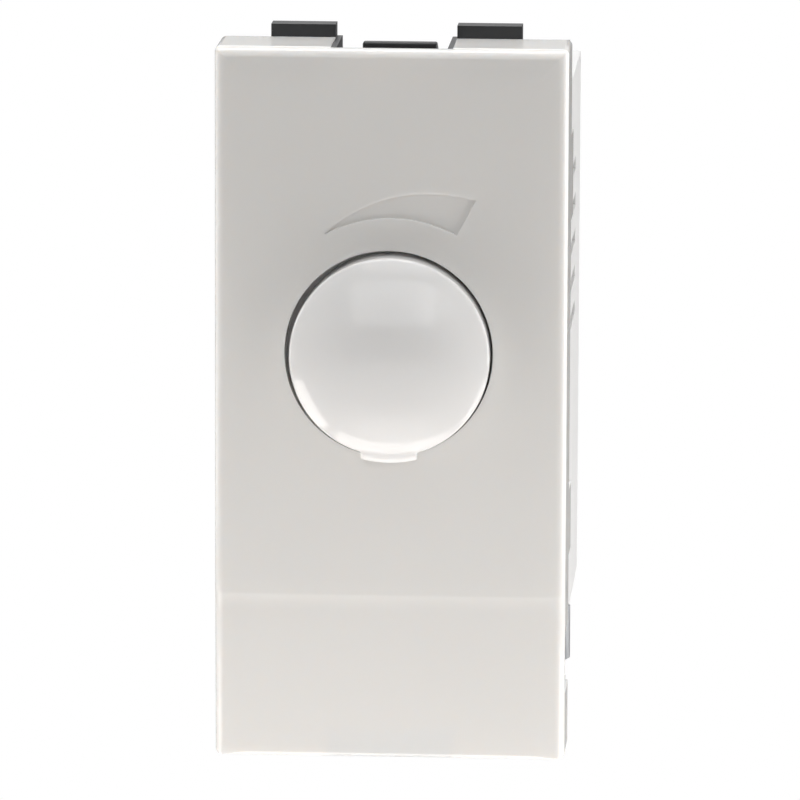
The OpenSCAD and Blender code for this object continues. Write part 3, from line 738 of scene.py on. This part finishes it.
def choke_winding():
    """Enamelled wire wound round the ferrite ring, with its two ends down to the board."""
    low, high = node_box("choke_core")
    cx, cz = (low.x + high.x) / 2, (low.z + high.z) / 2
    outer, inner, wire, turns = (high.x - low.x) / 2, 2.3, 0.27, 15
    gap, bend = wire + 0.05, 0.5
    box = [
        (inner - gap, low.y - gap), (outer + gap, low.y - gap),
        (outer + gap, high.y + gap), (inner - gap, high.y + gap),
    ]
    section = []
    for k, (rho, y) in enumerate(box):
        centre = (rho + (bend if k in (0, 3) else -bend), y + (bend if k < 2 else -bend))
        section += arc(centre, bend, 180 + 90 * k, 270 + 90 * k, 5)
    first, spread = math.radians(20), math.radians(320)
    path = []
    for i in range(turns * len(section)):
        rho, y = section[i % len(section)]
        a = first + spread * i / (turns * len(section))
        path.append((cx + rho * math.cos(a), y, cz - rho * math.sin(a)))
    foot = board_low.y + 0.02
    path = [(path[0][0], foot, path[0][2])] + path + [(path[-1][0], foot, path[-1][2])]
    coil = joined("choke_wire", [tube(path, wire, 8)])
    return stands_for(coil, "base", "enamelled_copper", "choke_winding")


def axis_y(r):
    """Height over the board of a small part's axis, as a place along Y."""
    return y_board_back + r + 0.3


def lead_path(x, y, z, half):
    """A component's lead: out of one end, round a bend and down to the board."""
    side = 1 if half > 0 else -1
    x_down = x + half + side * lead_reach
    return eased([(x + half * 0.8, y, z), (x_down, y, z), (x_down, y_board_back - 0.6, z)], 0.35)


def lead_pair(x, z, r, length):
    """The leads at both ends of a small part."""
    return [tube(lead_path(x, axis_y(r), z, side * length / 2), lead_r, 10) for side in (-1, 1)]


def small_body(x, z, r, end):
    """A lacquered body, the same at both ends, from the outline of one end."""
    profile = [(q, x + t) for q, t in end] + [(q, x - t) for q, t in reversed(end)]
    return turned_x(profile, axis_y(r), z)


def axial_parts():
    """Two resistors and a trigger diode, each a lacquered body on a pair of bent leads."""
    bodies, leads = [], []
    for x, z, r, length in resistors:
        h = length / 2
        end = [
            (0.3 * r, -h), (0.8 * r, -h + 0.06), (r, -h + 0.25),
            (r, -h + 0.6), (0.86 * r, -h + 0.95),
        ]
        bodies.append(small_body(x, z, r, end))
        leads += lead_pair(x, z, r, length)
    stands_for(joined("resistor_bodies", bodies), "base", "resistor_coat", "resistors")
    stands_for(joined("resistor_leads", leads), "base", "tinned_steel")
    x, z, r, length = diode
    h = length / 2
    end = [(0.3 * r, -h), (0.7 * r, -h + 0.08), (0.93 * r, -h + 0.3), (r, -h + 0.6)]
    bead = joined("diode_bead", [small_body(x, z, r, end)])
    stands_for(bead, "base", "diode_glass", "trigger_diode")
    stands_for(joined("diode_leads", lead_pair(x, z, r, length)), "base", "tinned_steel")


def side_leaves():
    """Bent spring leaves in the cover's side windows."""
    low, high = node_box("side_springs")
    t, x, y_root = 0.26, half_w - 0.5, low.y + 0.15
    centre = eased([
        (x - 0.85, y_root, 0), (x, y_root, 0), (x, 3.4, 0),
        (x + 0.33, 4.3, 0), (x + 0.02, high.y - 0.06, 0),
    ], 0.3)
    parts = []
    for side in (-1, 1):
        loops = []
        for z in (low.z, high.z):
            left, right = [], []
            for i, p in enumerate(centre):
                along = (centre[min(i + 1, len(centre) - 1)] - centre[max(i - 1, 0)]).normalized()
                across = Vector((-along.y, along.x, 0)) * t / 2
                left.append((side * (p + across).x, (p + across).y, z))
                right.append((side * (p - across).x, (p - across).y, z))
            loops.append(left + right[::-1])
        parts.append(skin(loops))
    leaf = joined("side_leaves", parts)
    round_edges(leaf, 0.04, 2, 40)
    return stands_for(leaf, "base", "spring_steel", "side_springs")


def solder_joint(x, z, y, out, r, h):
    """A fillet of solder round a pin, on the side of the board that faces out."""
    profile = [
        (r, y - out * 0.05), (r, y + out * 0.03), (r * 0.62, y + out * h * 0.35),
        (r * 0.42, y + out * h * 0.75), (r * 0.34, y + out * h),
    ]
    return turned_y(profile, x, z, 24)


def track(start, end, y):
    """Skin of a straight copper track with round ends, a little proud of the board's front."""
    half_track = 0.4
    along = Vector((end[0] - start[0], 0, end[1] - start[1])).normalized()
    across = Vector((along.z, 0, -along.x)) * half_track
    turns = [math.pi * k / 6 - math.pi / 2 for k in range(7)]
    loops = []
    for level in (y - 0.05, y + 0.02):
        ring = []
        for (x, z), sign in ((start, 1), (end, -1)):
            for turn in turns:
                d = (across * math.sin(turn) - along * math.cos(turn) * half_track) * sign
                ring.append((x + d.x, level, z + d.z))
        loops.append(ring)
    return skin(loops)


def board_detail():
    """Copper tracks under the board's mask, and the solder round each pin."""
    y_front, y_back = board_low.y, board_high.y
    tongue_z = node_box("terminal_tongues")[1].z - 0.35
    leg_low, leg_high = node_box("triac_legs")
    leg_z = (leg_low.z + leg_high.z) / 2
    pins = [(x, knob_z - 4.35) for x in (-2.5, 0, 2.5)]
    tongues = [(x, tongue_z) for x in (-6.2, 0, 6.2)]
    legs = [(x, leg_z) for x in (-2.54, 0, 2.54)]
    joints = [solder_joint(x, z, y_front, -1, 0.75, 0.42) for x, z in tongues]
    joints += [solder_joint(x, z, y_front, -1, 0.6, 0.42) for x, z in legs]
    joints += [solder_joint(x, z, y_back, 1, 0.6, 0.35) for x, z in pins]
    for x, z, r, length in resistors + [diode]:
        half = length / 2 + lead_reach
        joints += [solder_joint(x + side * half, z, y_back, 1, 0.45, 0.22) for side in (-1, 1)]
    stands_for(joined("solder_joints", joints), "base", "tinned_steel")
    routes = [
        [tongues[0], (-6.2, -3), (-2.5, -0.5), pins[0]], [tongues[1], (0, -4.6), legs[1]],
        [tongues[2], (6.2, 0), (6.2, 8)], [legs[0], (-5, -3), (-7, 3), (-7, 9)],
        [legs[2], (3.4, -3.4), (5.9, -1.6)], [pins[2], (3.8, 2.5), (6.3, 2.9)],
        [pins[1], (0, 4.5), (-4, 8)],
    ]
    stretches = [pair for route in routes for pair in zip(route, route[1:])]
    shortest = 0.2
    tracks = [track(a, b, y_front) for a, b in stretches if math.dist(a, b) >= shortest]
    stands_for(joined("board_tracks", tracks), "base", "board")


# ---- Camera, light and floor ----

# How far the floor lies under the part. The floor is white to camera rays only, as the ground is
# in the photograph, and the part is lit by the lamps and a dim floor.
FLOOR_DROP = 60
FRONT_LIGHT = 0.0
BACK_LIGHT = 0.35
# The world's light goes from front to back strength between these places on its Y direction
FRONT_EDGE = (-0.35, 0.15)
NEUTRAL = (1, 1, 1)
WARM = (1, 0.965, 0.935)
# Raises every lamp together
LEVEL = 1.08
# name, place, target, size, radiance, colour. The radiances began as a least-squares fit to the
# photograph's tones and were rounded, and about half were then changed. Several places and
# sizes were chosen from such fits too.
LAMPS = [
    ("overhead", (0, 20, 420), (0, 0, 0), (300, 120), 9.4, NEUTRAL),
    ("front_high", (0, -155, 317), (0, -7, 0), (243, 188), 1.58, NEUTRAL),
    ("front_mid", (0, -310, 175), (0, -7, 0), (350, 188), 1.34, NEUTRAL),
    ("table_far", (0, -349, -67), (0, -7, -2), (320, 30), 0.76, WARM),
    ("table_beyond", (0, -262, -74), (0, -7, -2), (260, 26), 0.55, WARM),
    ("table_middle", (0, -190, -76), (0, -7, -2), (200, 26), 0.34, WARM),
    ("table_before", (0, -140, -77), (0, -7, -2), (160, 24), 0.17, WARM),
    ("table_close", (0, -53, -65), (0, -7, 0), (64, 28), 0.9, WARM),
    ("table_near", (0, -27, -65), (0, -7, 0), (82, 18), 3.4, WARM),
    ("table_left", (-84, -30, -67), (0, -7, 0), (40, 70), 5.2, WARM),
    ("table_right", (84, -30, -67), (0, -7, 0), (40, 70), 4.6, WARM),
    ("side_left", (-350, -40, 0), (0, -7, 0), (200, 300), 1.1, NEUTRAL),
    ("side_right", (350, -40, 0), (0, -7, 0), (200, 300), 1.7, NEUTRAL),
    ("behind_left", (-350, 150, 0), (0, 0, 0), (260, 300), 1.8, NEUTRAL),
    ("behind_right", (350, 150, 0), (0, 0, 0), (260, 300), 4.0, NEUTRAL),
    ("right_panel", (225, -375, 215), (0, -7, 3), (200, 160), 0.75, NEUTRAL),
    ("rear", (-120, 420, 260), (0, 20, 0), (300, 240), 1.2, NEUTRAL),
]


def camera():
    """Camera at the photograph's angle. Its numbers come from a fit to the corners of the face."""
    elevation, azimuth, roll = math.radians(10.18), math.radians(3.52), math.radians(0.21)
    position = Vector((29.6, -477.8, 85.2)) * MM
    forward = Vector((
        -math.sin(azimuth) * math.cos(elevation),
        math.cos(azimuth) * math.cos(elevation),
        -math.sin(elevation),
    ))
    level = Vector((math.cos(azimuth), math.sin(azimuth), 0))
    upright = level.cross(forward)
    right = math.cos(roll) * level + math.sin(roll) * upright
    up = -math.sin(roll) * level + math.cos(roll) * upright
    data = bpy.data.cameras.new("camera")
    data.sensor_width = 36
    data.lens = 346.3
    data.clip_start = 0.01
    data.clip_end = 20
    cam = bpy.data.objects.new("camera", data)
    turn = Matrix((right, up, -forward)).transposed()
    cam.matrix_world = Matrix.Translation(position) @ turn.to_4x4()
    bpy.context.scene.collection.objects.link(cam)
    bpy.context.scene.camera = cam


def softbox(name, place, target, size, radiance, colour=(1, 1, 1)):
    """A rectangular studio light of an even radiance. Place, target and size are in millimetres."""
    data = bpy.data.lights.new(name, "AREA")
    data.shape = "RECTANGLE"
    data.size = size[0] * MM
    data.size_y = size[1] * MM
    data.energy = LEVEL * radiance * math.pi * data.size * data.size_y
    data.color = colour
    lamp = bpy.data.objects.new(name, data)
    lamp.location = Vector(place) * MM
    lamp.rotation_euler = (Vector(target) - Vector(place)).to_track_quat("-Z", "Y").to_euler()
    bpy.context.scene.collection.objects.link(lamp)
    return lamp


def surroundings():
    """A world dark in front of the face and brighter behind it, and plain white to camera rays."""
    world = bpy.data.worlds.new("studio")
    world.use_nodes = True
    tree = world.node_tree
    sky = tree.nodes["Background"]
    place = tree.nodes.new("ShaderNodeTexCoord")
    split = tree.nodes.new("ShaderNodeSeparateXYZ")
    ramp = tree.nodes.new("ShaderNodeMapRange")
    ramp.interpolation_type = "SMOOTHSTEP"
    ramp.inputs["From Min"].default_value = FRONT_EDGE[0]
    ramp.inputs["From Max"].default_value = FRONT_EDGE[1]
    ramp.inputs["To Min"].default_value = FRONT_LIGHT
    ramp.inputs["To Max"].default_value = BACK_LIGHT
    tree.links.new(place.outputs["Generated"], split.inputs[0])
    tree.links.new(split.outputs["Y"], ramp.inputs["Value"])
    tree.links.new(ramp.outputs["Result"], sky.inputs["Strength"])
    plain = tree.nodes.new("ShaderNodeBackground")
    path = tree.nodes.new("ShaderNodeLightPath")
    pick = tree.nodes.new("ShaderNodeMixShader")
    tree.links.new(path.outputs["Is Camera Ray"], pick.inputs[0])
    tree.links.new(sky.outputs[0], pick.inputs[1])
    tree.links.new(plain.outputs[0], pick.inputs[2])
    tree.links.new(pick.outputs[0], tree.nodes["World Output"].inputs["Surface"])
    plain.inputs["Color"].default_value = (1, 1, 1, 1)
    sky.inputs["Color"].default_value = (1, 1, 1, 1)
    bpy.context.scene.world = world


def studio():
    """The floor, the world and the lamps."""
    floor_z = cad_box[0][2] / MM - FLOOR_DROP
    mat, bsdf = shader("floor", Roughness=0.9)
    place = coords(mat)
    drift = noise(mat, place, 0.01, 2.0)
    grey = blend_colour(mat, drift, (0.30, 0.30, 0.30), (0.28, 0.28, 0.28))
    link(mat, grey, bsdf.inputs["Base Color"])
    white = node(mat, "ShaderNodeEmission")
    path = node(mat, "ShaderNodeLightPath")
    pick = node(mat, "ShaderNodeMixShader")
    link(mat, path.outputs["Is Camera Ray"], pick.inputs[0])
    link(mat, bsdf.outputs[0], pick.inputs[1])
    link(mat, white.outputs[0], pick.inputs[2])
    link(mat, pick.outputs[0], mat.node_tree.nodes["Material Output"].inputs["Surface"])
    reach = 3000
    corners = [(-reach, -reach), (reach, -reach), (reach, reach), (-reach, reach)]
    floor = mesh_object("floor", [(x, y, floor_z) for x, y in corners], [(0, 1, 2, 3)])
    floor.data.materials.append(mat)
    surroundings()
    for name, place, target, size, radiance, colour in LAMPS:
        softbox(name, place, target, size, radiance, colour)
    view = bpy.context.scene.view_settings
    view.view_transform = "Standard"
    view.look = "None"


# ---- Everything ----

# Radius put on the edges of each CAD part, in millimetres, where it isn't the usual one
EDGE = 0.08
EDGES = {
    "film_capacitor": 0.3, "timing_capacitor": 0.3, "triac_body": 0.2, "trimmer_body": 0.15,
    "clip_frame": 0.12, "rear_housing": 0.12, "pot_can": 0.12, "upper_latch": 0.12,
    "lower_latch": 0.12, "fuse_drawer": 0.1,
}

materials = make_materials()
camera()
studio()
stands_for(front_cover(), "base", "cover_plastic", "front_cover")
stands_for(knob(), "dial", "knob_plastic", "knob")
for node_name in ("left_screw", "centre_screw", "right_screw"):
    terminal_screw(node_name.replace("screw", "threaded_screw"), node_name)
choke_winding()
axial_parts()
side_leaves()
board_detail()

for name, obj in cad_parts.items():
    if obj.hide_render:
        continue
    clean_facets(obj)
    round_edges(obj, EDGES.get(name, EDGE), 2)
    for place in obj.material_slots:
        place.material = materials[place.material.name.split(".")[0]]
